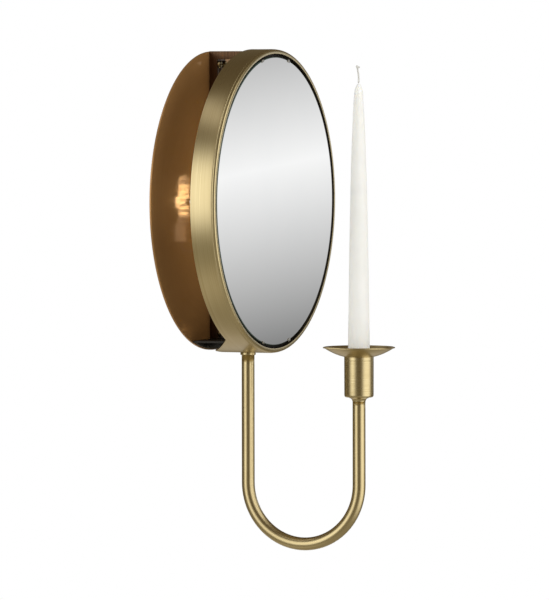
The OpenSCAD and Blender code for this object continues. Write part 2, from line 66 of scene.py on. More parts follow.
class Tree:
    """A small wrapper for building a node tree, which it empties first."""

    def __init__(self, tree):
        self.tree = tree
        self.tree.nodes.clear()

    def link(self, a, b):
        self.tree.links.new(a, b)

    def put(self, socket, value):
        if isinstance(value, bpy.types.NodeSocket):
            self.link(value, socket)
        else:
            socket.default_value = value

    def math(self, op, a, b=0.0, c=0.0):
        n = self.tree.nodes.new("ShaderNodeMath")
        n.operation = op
        for i, v in enumerate((a, b, c)):
            self.put(n.inputs[i], v)
        return n.outputs[0]

    def position(self):
        n = self.tree.nodes.new("ShaderNodeTexCoord")
        return n.outputs["Object"]

    def uv(self):
        n = self.tree.nodes.new("ShaderNodeUVMap")
        n.uv_map = "UVMap"
        return n.outputs[0]

    def split(self, vector):
        n = self.tree.nodes.new("ShaderNodeSeparateXYZ")
        self.link(vector, n.inputs[0])
        return n.outputs[0], n.outputs[1], n.outputs[2]

    def join(self, x, y, z):
        n = self.tree.nodes.new("ShaderNodeCombineXYZ")
        for i, v in enumerate((x, y, z)):
            self.put(n.inputs[i], v)
        return n.outputs[0]

    def noise(self, vector, scale, detail=3.0, rough=0.55, distortion=0.0):
        n = self.tree.nodes.new("ShaderNodeTexNoise")
        self.link(vector, n.inputs["Vector"])
        n.inputs["Scale"].default_value = scale
        n.inputs["Detail"].default_value = detail
        n.inputs["Roughness"].default_value = rough
        n.inputs["Distortion"].default_value = distortion
        return n.outputs["Fac"]

    def ramp(self, fac, stops, smooth=False):
        n = self.tree.nodes.new("ShaderNodeValToRGB")
        r = n.color_ramp
        r.interpolation = "B_SPLINE" if smooth else "LINEAR"
        while len(r.elements) < len(stops):
            r.elements.new(0.5)
        for e, (p, c) in zip(r.elements, stops):
            e.position = p
            e.color = (*c, 1.0) if len(c) == 3 else c
        self.link(fac, n.inputs[0])
        return n.outputs[0]

    def remap(self, v, a, b, c, d, smooth=False):
        n = self.tree.nodes.new("ShaderNodeMapRange")
        n.interpolation_type = "SMOOTHSTEP" if smooth else "LINEAR"
        self.link(v, n.inputs[0])
        for i, x in enumerate((a, b, c, d)):
            n.inputs[i + 1].default_value = x
        return n.outputs[0]

    def mix(self, fac, a, b):
        n = self.tree.nodes.new("ShaderNodeMix")
        n.data_type = "RGBA"
        self.put(n.inputs[0], fac)
        for s, v in ((n.inputs[6], a), (n.inputs[7], b)):
            self.put(s, v if isinstance(v, bpy.types.NodeSocket) else (*v, 1.0))
        return n.outputs[2]

    def bump(self, height, strength, distance, normal=None):
        n = self.tree.nodes.new("ShaderNodeBump")
        n.inputs["Strength"].default_value = strength
        n.inputs["Distance"].default_value = distance
        self.link(height, n.inputs["Height"])
        if normal is not None:
            self.link(normal, n.inputs["Normal"])
        return n.outputs[0]


class Nodes(Tree):
    """A new material with one principled shader."""

    def __init__(self, name):
        self.mat = bpy.data.materials.new(name)
        self.mat.use_nodes = True
        super().__init__(self.mat.node_tree)
        self.out = self.tree.nodes.new("ShaderNodeOutputMaterial")
        self.bsdf = self.tree.nodes.new("ShaderNodeBsdfPrincipled")
        self.link(self.bsdf.outputs[0], self.out.inputs[0])

    def set(self, **values):
        for k, v in values.items():
            self.put(self.bsdf.inputs[k.replace("_", " ")], v)


# ---------------------------------------------------------------- materials

BRASS_LOW, BRASS_HIGH = (0.60, 0.485, 0.255), (0.72, 0.61, 0.36)


def ring_vector(m, along, across):
    """Streaks that run round the Y axis: slow round the ring, quick across it."""
    x, y, z = m.split(m.position())
    r = m.math("SQRT", m.math("ADD", m.math("MULTIPLY", x, x), m.math("MULTIPLY", z, z)))
    t = m.math("MULTIPLY", m.math("ADD", y, r), across)
    return m.join(m.math("MULTIPLY", x, along), t, m.math("MULTIPLY", z, along))


def turned_vector(m, centre, along, across):
    """Streaks that run round a vertical axis through centre."""
    x, y, z = m.split(m.position())
    px = m.math("MULTIPLY", m.math("SUBTRACT", x, centre[0]), along)
    py = m.math("MULTIPLY", m.math("SUBTRACT", y, centre[1]), along)
    return m.join(px, py, m.math("MULTIPLY", z, across))


def scaled_vector(m, sx, sy, sz):
    x, y, z = m.split(m.position())
    return m.join(m.math("MULTIPLY", x, sx), m.math("MULTIPLY", y, sy), m.math("MULTIPLY", z, sz))


def metal(m, streak, low, high, rough, bump=0.15, depth=0.00002, spots=0.08):
    """Metal whose colour, roughness and bump follow the streak noise, with faint handling marks."""
    marks = m.noise(m.position(), 55.0, 4.0, 0.6)
    tone = m.math("ADD", m.math("MULTIPLY", streak, 1.0 - spots), m.math("MULTIPLY", marks, spots))
    m.set(
        Base_Color=m.ramp(tone, [(0.30, low), (0.70, high)]),
        Metallic=1.0,
        Roughness=m.remap(tone, 0.25, 0.75, rough[1], rough[0]),
        Normal=m.bump(tone, bump, depth),
    )
    return m.mat


def lacquer(m, rough):
    """A thin clear coat."""
    m.bsdf.inputs["Coat Weight"].default_value = 0.35
    m.bsdf.inputs["Coat Roughness"].default_value = rough


def mat_band():
    m = Nodes("brushed_brass_band")
    fine = m.noise(ring_vector(m, 6.0, 1500.0), 1.0, 3.0, 0.55)
    broad = m.noise(ring_vector(m, 4.0, 420.0), 1.0, 2.0, 0.5)
    streak = m.math("ADD", m.math("MULTIPLY", fine, 0.65), m.math("MULTIPLY", broad, 0.35))
    lacquer(m, 0.12)
    return metal(m, streak, BRASS_LOW, (0.74, 0.635, 0.385), (0.25, 0.36), 0.10)


def mat_turned(name, centre):
    m = Nodes(name)
    fine = m.noise(turned_vector(m, centre, 30.0, 1900.0), 1.0, 3.0, 0.55)
    lacquer(m, 0.10)
    return metal(m, fine, BRASS_LOW, BRASS_HIGH, (0.24, 0.34), 0.05)


def mat_tube():
    m = Nodes("satin_brass_tube")
    around, along, _ = m.split(m.uv())
    vector = m.join(m.math("MULTIPLY", around, 60.0), m.math("MULTIPLY", along, 14.0), 0.0)
    streak = m.noise(vector, 1.0, 4.0, 0.6)
    lacquer(m, 0.10)
    return metal(m, streak, BRASS_LOW, BRASS_HIGH, (0.26, 0.36), 0.04)


def mat_brass_parts():
    m = Nodes("satin_brass_parts")
    n = m.noise(scaled_vector(m, 700.0, 700.0, 700.0), 1.0, 3.0, 0.6)
    return metal(m, n, BRASS_LOW, BRASS_HIGH, (0.24, 0.36), 0.06)


def mat_plate():
    m = Nodes("dark_bronze_plate")
    fine = m.noise(ring_vector(m, 12.0, 1300.0), 1.0, 4.0, 0.6)
    cloud = m.noise(m.position(), 16.0, 3.0, 0.55)
    tone = m.math("ADD", m.math("MULTIPLY", fine, 0.45), m.math("MULTIPLY", cloud, 0.55))
    m.set(
        Base_Color=m.ramp(tone, [(0.32, (0.345, 0.180, 0.066)), (0.68, (0.400, 0.215, 0.080))]),
        Metallic=0.45,
        Roughness=m.remap(tone, 0.3, 0.7, 0.11, 0.08),
        Normal=m.bump(fine, 0.02, 0.00001),
    )
    return m.mat


def mat_spine_shaded():
    # Painted shade: this bronze is much darker than the plate's same bronze, standing in for the shade on the
    # channel's side faces.
    m = Nodes("spine_bronze_painted_shade")
    fine = m.noise(scaled_vector(m, 900.0, 900.0, 25.0), 1.0, 4.0, 0.6)
    m.set(
        Base_Color=m.ramp(fine, [(0.32, (0.075, 0.040, 0.022)), (0.68, (0.13, 0.072, 0.038))]),
        Metallic=0.85,
        Roughness=m.remap(fine, 0.3, 0.7, 0.42, 0.30),
        Normal=m.bump(fine, 0.12, 0.00002),
    )
    return m.mat


def mat_black():
    m = Nodes("black_powder_coat")
    grain = m.noise(m.position(), 2600.0, 2.0, 0.5)
    cloud = m.noise(m.position(), 30.0, 2.0, 0.5)
    m.set(
        Base_Color=m.ramp(cloud, [(0.3, (0.008, 0.007, 0.006)), (0.7, (0.016, 0.013, 0.011))]),
        Roughness=m.remap(grain, 0.3, 0.7, 0.62, 0.45),
        Normal=m.bump(grain, 0.25, 0.00006),
    )
    return m.mat


def mat_zinc():
    m = Nodes("zinc_plate")
    cell = m.noise(m.position(), 420.0, 3.0, 0.6)
    return metal(m, cell, (0.50, 0.50, 0.48), (0.68, 0.68, 0.66), (0.26, 0.42), 0.10)


def mat_mirror():
    m = Nodes("silvered_mirror")
    haze = m.noise(m.position(), 14.0, 3.0, 0.5)
    m.set(
        Base_Color=m.ramp(haze, [(0.3, (0.955, 0.962, 0.962)), (0.7, (0.972, 0.976, 0.974))]),
        Metallic=1.0,
        Roughness=m.remap(haze, 0.3, 0.7, 0.012, 0.004),
        Normal=m.bump(haze, 0.02, 0.00001),
    )
    return m.mat


def mat_glass_edge():
    m = Nodes("ground_glass_edge")
    n = m.noise(m.position(), 900.0, 3.0, 0.6)
    m.set(
        Base_Color=m.ramp(n, [(0.3, (0.030, 0.050, 0.042)), (0.7, (0.070, 0.105, 0.090))]),
        Roughness=m.remap(n, 0.3, 0.7, 0.45, 0.25),
        Normal=m.bump(n, 0.12, 0.00003),
    )
    return m.mat


def plain(name, low, high, scale, rough, bump, depth=0.00004, **extra):
    """A non-metal with mottled colour, roughness and bump."""
    m = Nodes(name)
    n = m.noise(m.position(), scale, 4.0, 0.6)
    m.set(
        Base_Color=m.ramp(n, [(0.32, low), (0.68, high)]),
        Roughness=m.remap(n, 0.3, 0.7, rough[1], rough[0]),
        Normal=m.bump(n, bump, depth),
    )
    for k, v in extra.items():
        m.bsdf.inputs[k.replace("_", " ")].default_value = v
    return m.mat


def mat_wax():
    m = Nodes("white_wax")
    pull = m.noise(scaled_vector(m, 260.0, 260.0, 18.0), 1.0, 3.0, 0.55)
    cloud = m.noise(m.position(), 70.0, 4.0, 0.6)
    tone = m.math("ADD", m.math("MULTIPLY", pull, 0.5), m.math("MULTIPLY", cloud, 0.5))
    m.set(
        Base_Color=m.ramp(tone, [(0.30, (0.84, 0.85, 0.845)), (0.70, (0.89, 0.90, 0.895))]),
        Roughness=m.remap(tone, 0.3, 0.7, 0.48, 0.34),
        Normal=m.bump(tone, 0.20, 0.00012),
    )
    b = m.bsdf.inputs
    b["Subsurface Weight"].default_value = 0.35
    b["Subsurface Radius"].default_value = (1.0, 0.9, 0.75)
    b["Subsurface Scale"].default_value = 0.003
    b["Specular IOR Level"].default_value = 0.35
    return m.mat


def mat_cotton():
    m = Nodes("braided_cotton")
    around, along, _ = m.split(m.uv())
    strand, twist = m.math("MULTIPLY", around, 18.85), m.math("MULTIPLY", along, 4200.0)
    a = m.math("SINE", m.math("ADD", strand, twist))
    b = m.math("SINE", m.math("SUBTRACT", strand, twist))
    weave = m.math("MAXIMUM", a, b)
    fuzz = m.noise(m.position(), 3000.0, 3.0, 0.7)
    tone = m.math("ADD", m.math("MULTIPLY", weave, 0.35), m.math("MULTIPLY", fuzz, 0.65))
    m.set(
        Base_Color=m.ramp(tone, [(0.1, (0.50, 0.50, 0.49)), (0.7, (0.72, 0.72, 0.70))]),
        Roughness=m.remap(tone, 0.0, 1.0, 0.95, 0.75),
        Normal=m.bump(weave, 0.6, 0.0001),
    )
    return m.mat


def mat_led():
    m = Nodes("led_chips")
    n = m.noise(m.position(), 900.0, 2.0, 0.5)
    m.set(
        Base_Color=m.ramp(n, [(0.3, (0.85, 0.55, 0.12)), (0.7, (1.0, 0.72, 0.22))]),
        Roughness=m.remap(n, 0.3, 0.7, 0.5, 0.35),
        Normal=m.bump(n, 0.1, 0.00002),
    )
    m.bsdf.inputs["Emission Color"].default_value = (1.0, 0.90, 0.58, 1.0)
    m.bsdf.inputs["Emission Strength"].default_value = 7.5
    return m.mat


def mat_bulb_cover():
    m = Nodes("clear_bulb_cover")
    n = m.noise(m.position(), 120.0, 2.0, 0.5)
    m.set(
        Base_Color=m.ramp(n, [(0.3, (0.95, 0.95, 0.93)), (0.7, (1.0, 1.0, 0.99))]),
        Roughness=m.remap(n, 0.3, 0.7, 0.06, 0.02),
        Normal=m.bump(n, 0.03, 0.00002),
        Alpha=m.remap(n, 0.0, 1.0, 0.12, 0.20),
    )
    return m.mat


def mat_earth():
    m = Nodes("green_yellow_insulation")
    around = m.split(m.uv())[0]
    s = m.math("SINE", m.math("MULTIPLY", around, 2 * math.pi))
    wob = m.noise(m.position(), 300.0, 2.0, 0.5)
    fac = m.remap(m.math("ADD", s, m.math("MULTIPLY", wob, 0.1)), -0.05, 0.10, 0.0, 1.0)
    m.set(
        Base_Color=m.mix(fac, (0.03, 0.20, 0.03), (0.62, 0.55, 0.04)),
        Roughness=m.remap(wob, 0.3, 0.7, 0.45, 0.32),
        Normal=m.bump(wob, 0.1, 0.00004),
    )
    return m.mat


# ---------------------------------------------------------------- mesh helpers


def shade(obj, angle=32.0):
    """Consistent normals, smooth faces, and sharp edges where faces turn by more than angle."""
    bm = bmesh.new()
    bm.from_mesh(obj.data)
    bmesh.ops.remove_doubles(bm, verts=bm.verts, dist=1e-7)
    bmesh.ops.recalc_face_normals(bm, faces=bm.faces)
    limit = math.radians(angle)
    for f in bm.faces:
        f.smooth = True
    for e in bm.edges:
        e.smooth = len(e.link_faces) == 2 and e.calc_face_angle(0.0) < limit
    bm.to_mesh(obj.data)
    bm.free()


def piece(name, verts, faces, mat, node, angle=32.0):
    """A new mesh piece that stands for a CAD node and rides on its body."""
    me = bpy.data.meshes.new(name)
    me.from_pydata([tuple(v) for v in verts], [], faces)
    me.update()
    obj = bpy.data.objects.new(name, me)
    COLLECTION.objects.link(obj)
    me.materials.append(mat)
    shade(obj, angle)
    settle(obj, node)
    return obj


def settle(obj, node, body=None, also=()):
    """Puts obj on its node's body and hides the node, with any others named in also."""
    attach(obj, body or BODY_OF[node])
    if node:
        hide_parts(node, *also)


def rounded(points, steps=5):
    """Turns (r, h, fillet) corners into a smooth profile. Fillet 0 keeps the corner."""
    out = []
    n = len(points)
    for i, (r, h, f) in enumerate(points):
        if f <= 0:
            out.append((r, h))
            continue
        p = Vector((r, h))
        a = Vector(points[i - 1][:2]) - p
        b = Vector(points[(i + 1) % n][:2]) - p
        d = min(f, a.length * 0.49, b.length * 0.49)
        s, e = p + a.normalized() * d, p + b.normalized() * d
        for k in range(steps + 1):
            t = k / steps
            q = s * (1 - t) ** 2 + p * 2 * t * (1 - t) + e * t ** 2
            out.append((q.x, q.y))
    return out


def lathe_data(profile, axis, centre, segs=96, closed=True):
    """Vertices and faces of a profile of (r, h) turned about axis Y or Z through centre."""
    verts, faces, ring = [], [], []
    for r, h in profile:
        if r < 1e-7:
            ring.append([len(verts)])
            verts.append(axis_point(axis, centre, 0, h, 0))
            continue
        row = []
        for k in range(segs):
            row.append(len(verts))
            verts.append(axis_point(axis, centre, r, h, 2 * math.pi * k / segs))
        ring.append(row)
    count = len(ring)
    for i in range(count if closed else count - 1):
        a, b = ring[i], ring[(i + 1) % count]
        for k in range(segs):
            k2 = (k + 1) % segs
            if len(a) == 1 and len(b) == 1:
                break
            if len(a) == 1:
                faces.append((a[0], b[k], b[k2]))
            elif len(b) == 1:
                faces.append((a[k], b[0], a[k2]))
            else:
                faces.append((a[k], b[k], b[k2], a[k2]))
    return verts, faces


def axis_point(axis, c, r, h, t):
    if axis == "Y":
        return (c[0] + r * math.cos(t), -h, c[2] + r * math.sin(t))
    return (c[0] + r * math.cos(t), c[1] + r * math.sin(t), h)


def lathe(name, profile, axis, centre, mat, node, segs=96, closed=True, angle=32.0):
    v, f = lathe_data(profile, axis, centre, segs, closed)
    return piece(name, v, f, mat, node, angle)


def add_uv_sweep(obj, rows, sides, lengths):
    """UV: u round the tube, v metres along it, for a sweep's side faces."""
    me = obj.data
    layer = me.uv_layers.new(name="UVMap")
    total = rows * sides
    for poly in me.polygons:
        ids = list(poly.vertices)
        cols = [i % sides for i in ids if i < total]
        wrap = cols and max(cols) - min(cols) > 1
        for li, vi in zip(poly.loop_indices, ids):
            if vi >= total:
                layer.data[li].uv = (0.5, lengths[0])
                continue
            c, row = vi % sides, vi // sides
            u = c / sides + (1.0 if wrap and c == 0 else 0.0)
            layer.data[li].uv = (u, lengths[row])


def sweep(name, pts, radius, mat, node, sides):
    """A capped tube along pts, with a steady frame and UVs. radius may be one value or one a point."""
    pts = [Vector(p) for p in pts]
    n = len(pts)
    radii = radius if isinstance(radius, (list, tuple)) else [radius] * n
    verts, lengths, run = [], [], 0.0
    first_side, normal = Vector((1, 0, 0)), None
    for i, p in enumerate(pts):
        tangent = (pts[min(i + 1, n - 1)] - pts[max(i - 1, 0)]).normalized()
        if normal is None:
            normal = (first_side - tangent * first_side.dot(tangent)).normalized()
        else:
            normal = (normal - tangent * normal.dot(tangent)).normalized()
            run += (p - pts[i - 1]).length
        side = tangent.cross(normal)
        lengths.append(run)
        for k in range(sides):
            t = 2 * math.pi * k / sides
            verts.append(p + (normal * math.cos(t) + side * math.sin(t)) * radii[i])
    faces = []
    for i in range(n - 1):
        for k in range(sides):
            k2 = (k + 1) % sides
            faces.append((i * sides + k, i * sides + k2, (i + 1) * sides + k2, (i + 1) * sides + k))
    faces.append(tuple(range(sides - 1, -1, -1)))
    faces.append(tuple(range((n - 1) * sides, n * sides)))
    me = bpy.data.meshes.new(name)
    me.from_pydata([tuple(v) for v in verts], [], faces)
    obj = bpy.data.objects.new(name, me)
    COLLECTION.objects.link(obj)
    me.materials.append(mat)
    add_uv_sweep(obj, n, sides, lengths)
    for p in me.polygons:
        p.use_smooth = len(p.vertices) == 4
    me.update()
    settle(obj, node)


def smooth_route(pts, steps=10):
    """Catmull-Rom points through pts."""
    p = [Vector(q) for q in pts]
    p = [p[0] * 2 - p[1]] + p + [p[-1] * 2 - p[-2]]
    out = []
    for i in range(1, len(p) - 2):
        a, b, c, d = p[i - 1:i + 3]
        for k in range(steps):
            t = k / steps
            out.append(0.5 * ((2 * b) + (c - a) * t + (2 * a - 5 * b + 4 * c - d) * t * t
                              + (3 * b - a - 3 * c + d) * t ** 3))
    out.append(p[-2])
    return out


def scratch(name, verts, faces):
    """A mesh object that is not a piece: a cutter or part of the stage."""
    me = bpy.data.meshes.new(name)
    me.from_pydata([tuple(v) for v in verts], [], faces)
    obj = bpy.data.objects.new(name, me)
    COLLECTION.objects.link(obj)
    bm = bmesh.new()
    bm.from_mesh(me)
    bmesh.ops.recalc_face_normals(bm, faces=bm.faces)
    bm.to_mesh(me)
    bm.free()
    return obj


def cut(obj, cutters, angle=32.0):
    """Cuts every cutter from obj with an exact boolean, then applies it."""
    for c in cutters:
        mod = obj.modifiers.new("cut", "BOOLEAN")
        mod.operation = "DIFFERENCE"
        mod.solver = "EXACT"
        mod.object = c
    dg = bpy.context.evaluated_depsgraph_get()
    me = bpy.data.meshes.new_from_object(obj.evaluated_get(dg))
    obj.modifiers.clear()
    old = obj.data
    obj.data = me
    bpy.data.meshes.remove(old)
    for c in cutters:
        data = c.data
        bpy.data.objects.remove(c)
        bpy.data.meshes.remove(data)
    shade(obj, angle)


def rod_cutter(axis, centre, r, h0, h1, segs=32, r2=None):
    v, f = lathe_data([(0, h0), (r, h0), (r2 or r, h1), (0, h1)], axis, centre, segs, False)
    return scratch("cutter", v, f)


def refine(node, mat, width=0.25, segs=2, angle=38.0):
    """A copy of a CAD node's shape with its corners broken by a small bevel."""
    src = NODES[node]
    me = src.data.copy()
    me.materials.clear()
    me.materials.append(mat)
    obj = bpy.data.objects.new(node + "_piece", me)
    COLLECTION.objects.link(obj)
    bm = bmesh.new()
    bm.from_mesh(me)
    bmesh.ops.remove_doubles(bm, verts=bm.verts, dist=2e-6)
    bmesh.ops.dissolve_limit(bm, angle_limit=math.radians(0.6), verts=bm.verts, edges=bm.edges)
    bm.to_mesh(me)
    bm.free()
    mod = obj.modifiers.new("bevel", "BEVEL")
    mod.width = width * MM
    mod.segments = segs
    mod.limit_method = "ANGLE"
    mod.angle_limit = math.radians(angle)
    mod.use_clamp_overlap = True
    dg = bpy.context.evaluated_depsgraph_get()
    new = bpy.data.meshes.new_from_object(obj.evaluated_get(dg))
    obj.modifiers.clear()
    obj.data = new
    bpy.data.meshes.remove(me)
    shade(obj, 30.0)
    settle(obj, node)
    return obj


def box_mesh(lo, hi):
    v = [(x, y, z) for x in (lo[0], hi[0]) for y in (lo[1], hi[1]) for z in (lo[2], hi[2])]
    f = [(0, 1, 3, 2), (4, 6, 7, 5), (0, 4, 5, 1), (2, 3, 7, 6), (0, 2, 6, 4), (1, 5, 7, 3)]
    return v, f


# ---------------------------------------------------------------- measures from the frame

H_LO, H_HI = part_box("housing")
RING = H_HI.x
FRONT = -H_LO.y
TONGUE_END = -H_HI.y
PLATE_LO, PLATE_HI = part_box("backplate")
PLATE_R, PLATE_T = PLATE_HI.x, -PLATE_LO.y
G_LO, G_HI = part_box("mirror_glass")
GLASS_R, GLASS_FRONT, GLASS_BACK = G_HI.x, -G_LO.y, -G_HI.y
CUP_LO, CUP_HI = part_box("candle_cup")
CUP_R = CUP_HI.x
CUP_Y = (CUP_LO.y + CUP_HI.y) / 2
CUP_TOP, CUP_BASE = CUP_HI.z, CUP_LO.z
ARM_LO, ARM_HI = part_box("arm_tube")
ARM_R = ARM_HI.x
ARM_Y = ARM_HI.y - ARM_R
TUBE_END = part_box("cup_neck")[0].z
COLLAR_LO, COLLAR_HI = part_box("arm_collar")
BULB_Y = (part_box("bulb_base")[0].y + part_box("bulb_base")[1].y) / 2

# Sizes of the housing that its box doesn't give: its rear edge, sheet, lip and tongue.
REAR = 44 * MM
SHEET = 1.5 * MM
LIP_IN = RING - 4.5 * MM
TONGUE_HALF, TONGUE_ROOT = 24.5 * MM, 65.5 * MM

BRASS_BAND = mat_band()
BRASS_CUP = mat_turned("satin_brass_cup", (0, CUP_Y))
BRASS_TUBE = mat_tube()
BRASS_PARTS = mat_brass_parts()
BRONZE_PLATE = mat_plate()
SPINE_SHADED_BRONZE = mat_spine_shaded()
BLACK = mat_black()
# Painted shade: a near-black material for the inner wall of the brass lip, standing in for the shade in the
# recess beside the mirror.
LIP_RETURN_SHADE = plain("lip_return_painted_shade", (0.020, 0.016, 0.010), (0.045, 0.036, 0.022),
                    500.0, (0.45, 0.6), 0.1)
ZINC = mat_zinc()
MIRROR = mat_mirror()
GLASS_EDGE = mat_glass_edge()
FOAM = plain("foam_tape", (0.62, 0.62, 0.58), (0.76, 0.76, 0.72), 1500.0, (0.8, 0.95), 0.5, 0.0001)
CERAMIC = plain("steatite", (0.70, 0.67, 0.60), (0.80, 0.77, 0.70), 900.0, (0.55, 0.75), 0.25)
WHITE_PLASTIC = plain("white_plastic", (0.74, 0.74, 0.71), (0.80, 0.80, 0.78), 500.0, (0.24, 0.36), 0.08)
CREAM_PLASTIC = plain("cream_plastic", (0.70, 0.67, 0.58), (0.79, 0.76, 0.68), 420.0, (0.35, 0.5), 0.12)
RUBBER = plain("black_rubber", (0.010, 0.010, 0.010), (0.022, 0.021, 0.020), 700.0, (0.55, 0.75), 0.25)
BROWN_PVC = plain("brown_insulation", (0.085, 0.030, 0.012), (0.13, 0.05, 0.02), 300.0, (0.34, 0.46), 0.1)
BLUE_PVC = plain("blue_insulation", (0.010, 0.060, 0.26), (0.018, 0.09, 0.34), 300.0, (0.34, 0.46), 0.1)
EARTH_PVC = mat_earth()
WAX = mat_wax()
COTTON = mat_cotton()
LED = mat_led()
COVER = mat_bulb_cover()

# ---------------------------------------------------------------- pieces


def housing():
    """Band, stepped and rolled lip and tongue, spun from one sheet, with its rear corners softened."""
    front = FRONT
    base = [
        (RING - SHEET, REAR, 0.3 * MM),
        (RING, REAR, 0.5 * MM),
        (RING, front - 5.0 * MM, 0),
        (RING - 0.02 * MM, front - 3.6 * MM, 0.3 * MM),
        (RING - 0.45 * MM, front - 3.2 * MM, 0.4 * MM),
        (RING - 0.45 * MM, front - 2.4 * MM, 0.3 * MM),
        (RING - 0.25 * MM, front - 2.1 * MM, 0.4 * MM),
        (RING - 0.75 * MM, front - 0.6 * MM, 0.9 * MM),
        (RING - 2.2 * MM, front, 0.9 * MM),
        (LIP_IN + 0.5 * MM, front - 0.02 * MM, 0.2 * MM),
        (LIP_IN, front - 0.15 * MM, 0.1 * MM),
        (LIP_IN, front - 2.0 * MM, 0.3 * MM),
        (LIP_IN + 1.4 * MM, front - 2.3 * MM, 0.4 * MM),
        (RING - SHEET, front - 3.4 * MM, 0.5 * MM),
    ]
    profile = rounded(base, 4)
    edges = sorted({
        *(2 * math.pi * k / 360 for k in range(360)),
        *(1.5 * math.pi + s * math.asin(w / RING) for s in (-1, 1) for w in (TONGUE_HALF, TONGUE_ROOT)),
    })
    count = len(profile)

    def rear_at(x, z):
        if z > 0 or abs(x) >= TONGUE_ROOT:
            return REAR
        if abs(x) <= TONGUE_HALF:
            return TONGUE_END
        return TONGUE_END + (REAR - TONGUE_END) * (abs(x) - TONGUE_HALF) / (TONGUE_ROOT - TONGUE_HALF)

    verts, faces = [], []
    for t in edges:
        c, s = math.cos(t), math.sin(t)
        shift = REAR - rear_at(RING * c, RING * s)
        for r, h in profile:
            move = shift if h < REAR + 1.0 * MM else 0.0
            verts.append((r * c, -(h - move), r * s))
    n = len(edges)
    for i in range(n):
        j = (i + 1) % n
        for k in range(count):
            k2 = (k + 1) % count
            faces.append((i * count + k, j * count + k, j * count + k2, i * count + k2))
    obj = piece("housing_shell", verts, faces, BRASS_BAND, "housing", 40.0)
    obj.data.materials.append(LIP_RETURN_SHADE)
    # Painted shade: the faces of the lip's inner wall, between its front edge and the mirror, get the
    # near-black material.
    for p in obj.data.polygons:
        r, y = math.hypot(p.center.x, p.center.z), -p.center.y
        if r < LIP_IN + 0.08 * MM and front - 2.4 * MM < y < front - 0.1 * MM:
            p.material_index = 1
    lo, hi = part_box("top_screw")
    sy = (lo.y + hi.y) / 2
    nipple_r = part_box("arm_nipple")[1].x
    cut(obj, [
        rod_cutter("Z", (0, sy, 0), 2.2 * MM, RING - 3 * MM, RING + 1.2 * MM, 40, 5.4 * MM),
        rod_cutter("Z", (0, ARM_Y, 0), nipple_r + 0.2 * MM, -RING - 2 * MM, -RING + 6 * MM, 48),
    ], 40.0)


def backplate():
    """A flat disc with softened edges and its screw, cable and earth holes."""
    e = 0.5 * MM
    profile = rounded([
        (0, PLATE_T, 0), (PLATE_R, PLATE_T, e), (PLATE_R, 0, 0.2 * MM), (0, 0, 0)], 4)
    v, f = lathe_data(profile, "Y", (0, 0, 0), 288, False)
    obj = piece("backplate_disc", v, f, BRONZE_PLATE, "backplate", 25.0)
    screws = next(m for m in RECORD["mounts"] if m["name"] == "wall_screws")["dims"]
    holes = [(s * screws["spacing_x_mm"] / 2, 0.0, screws["hole_r_mm"]) for s in (-1, 1)]
    for node, r in (("spine_screws", 2.02), ("bracket_screws", 2.02)):
        for c in solid_centres(node):
            holes.append((c.x / MM, c.z / MM, r))
    for node, r in (("grommet", 6.02), ("earth_terminal", 2.02)):
        c = solid_centres(node)[0]
        holes.append((c.x / MM, c.z / MM, r))
    cut(obj, [rod_cutter("Y", (x * MM, 0, z * MM), r * MM, -1 * MM, PLATE_T + 1 * MM, 32)
              for x, z, r in holes], 25.0)


def solid_centres(node):
    """The middle of each separate solid of a node."""
    bm = bmesh.new()
    bm.from_mesh(NODES[node].data)
    bmesh.ops.remove_doubles(bm, verts=bm.verts, dist=2e-6)
    seen, out = set(), []
    for v in bm.verts:
        if v.index in seen:
            continue
        stack, group = [v], []
        seen.add(v.index)
        while stack:
            w = stack.pop()
            group.append(w.co.copy())
            for e in w.link_edges:
                o = e.other_vert(w)
                if o.index not in seen:
                    seen.add(o.index)
                    stack.append(o)
        xs, ys, zs = zip(*group)
        out.append(Vector(((min(xs) + max(xs)) / 2, (min(ys) + max(ys)) / 2, (min(zs) + max(zs)) / 2)))
    bm.free()
    return out


def mirror():
    """Silvered glass, with ground glass for its narrow bevel, its edge and its back."""
    b = 0.7 * MM
    v, f = lathe_data([(0, GLASS_FRONT), (GLASS_R - b, GLASS_FRONT), (GLASS_R, GLASS_FRONT - b),
                       (GLASS_R, GLASS_BACK + 0.3 * MM), (GLASS_R - 0.3 * MM, GLASS_BACK), (0, GLASS_BACK)],
                      "Y", (0, 0, 0), 288, False)
    obj = piece("mirror_disc", v, f, MIRROR, "mirror_glass", 10.0)
    obj.data.materials.append(GLASS_EDGE)
    for p in obj.data.polygons:
        if max(obj.data.vertices[i].co.y for i in p.vertices) > -GLASS_FRONT + 0.01 * MM:
            p.material_index = 1


def cross_screw(name, centres, head_r, head_h, y_seat, shank_r, y_tip, mat, node):
    """Pan head screws facing out of the wall, each with a cross recess."""
    verts, faces = [], []
    cutters = []
    for c in centres:
        top = y_seat + head_h
        prof = rounded([(0, top, 0), (head_r, top, head_h * 0.55), (head_r, y_seat, 0.15 * MM),
                        (shank_r, y_seat, 0), (shank_r, y_tip, 0.2 * MM), (0, y_tip, 0)], 5)
        v, f = lathe_data(prof, "Y", (c.x, 0, c.z), 28, False)
        o = len(verts)
        verts += v
        faces += [tuple(i + o for i in q) for q in f]
        thin, long = head_r * 0.16, head_r * 0.62
        for sx, sz in ((thin, long), (long, thin)):
            bv, bf = box_mesh((c.x - sx, -(top + 1 * MM), c.z - sz),
                              (c.x + sx, -(top - head_h * 0.5), c.z + sz))
            cutters.append(scratch("cutter", bv, bf))
    obj = piece(name, verts, faces, mat, node, 35.0)
    cut(obj, cutters, 35.0)


def wall_side_screws():
    """Brass screws through both ends of the spine and black ones through the arm bracket."""
    for name, node, head_r, head_h, mat in (
        ("spine_screw_set", "spine_screws", 3.4 * MM, 2.6 * MM, BRASS_PARTS),
        ("bracket_screw_set", "bracket_screws", 3.0 * MM, 2.2 * MM, BLACK),
    ):
        seat = -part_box(node)[0].y - head_h
        cross_screw(name, solid_centres(node), head_r, head_h, seat, 2.0 * MM, 0.0, mat, node)


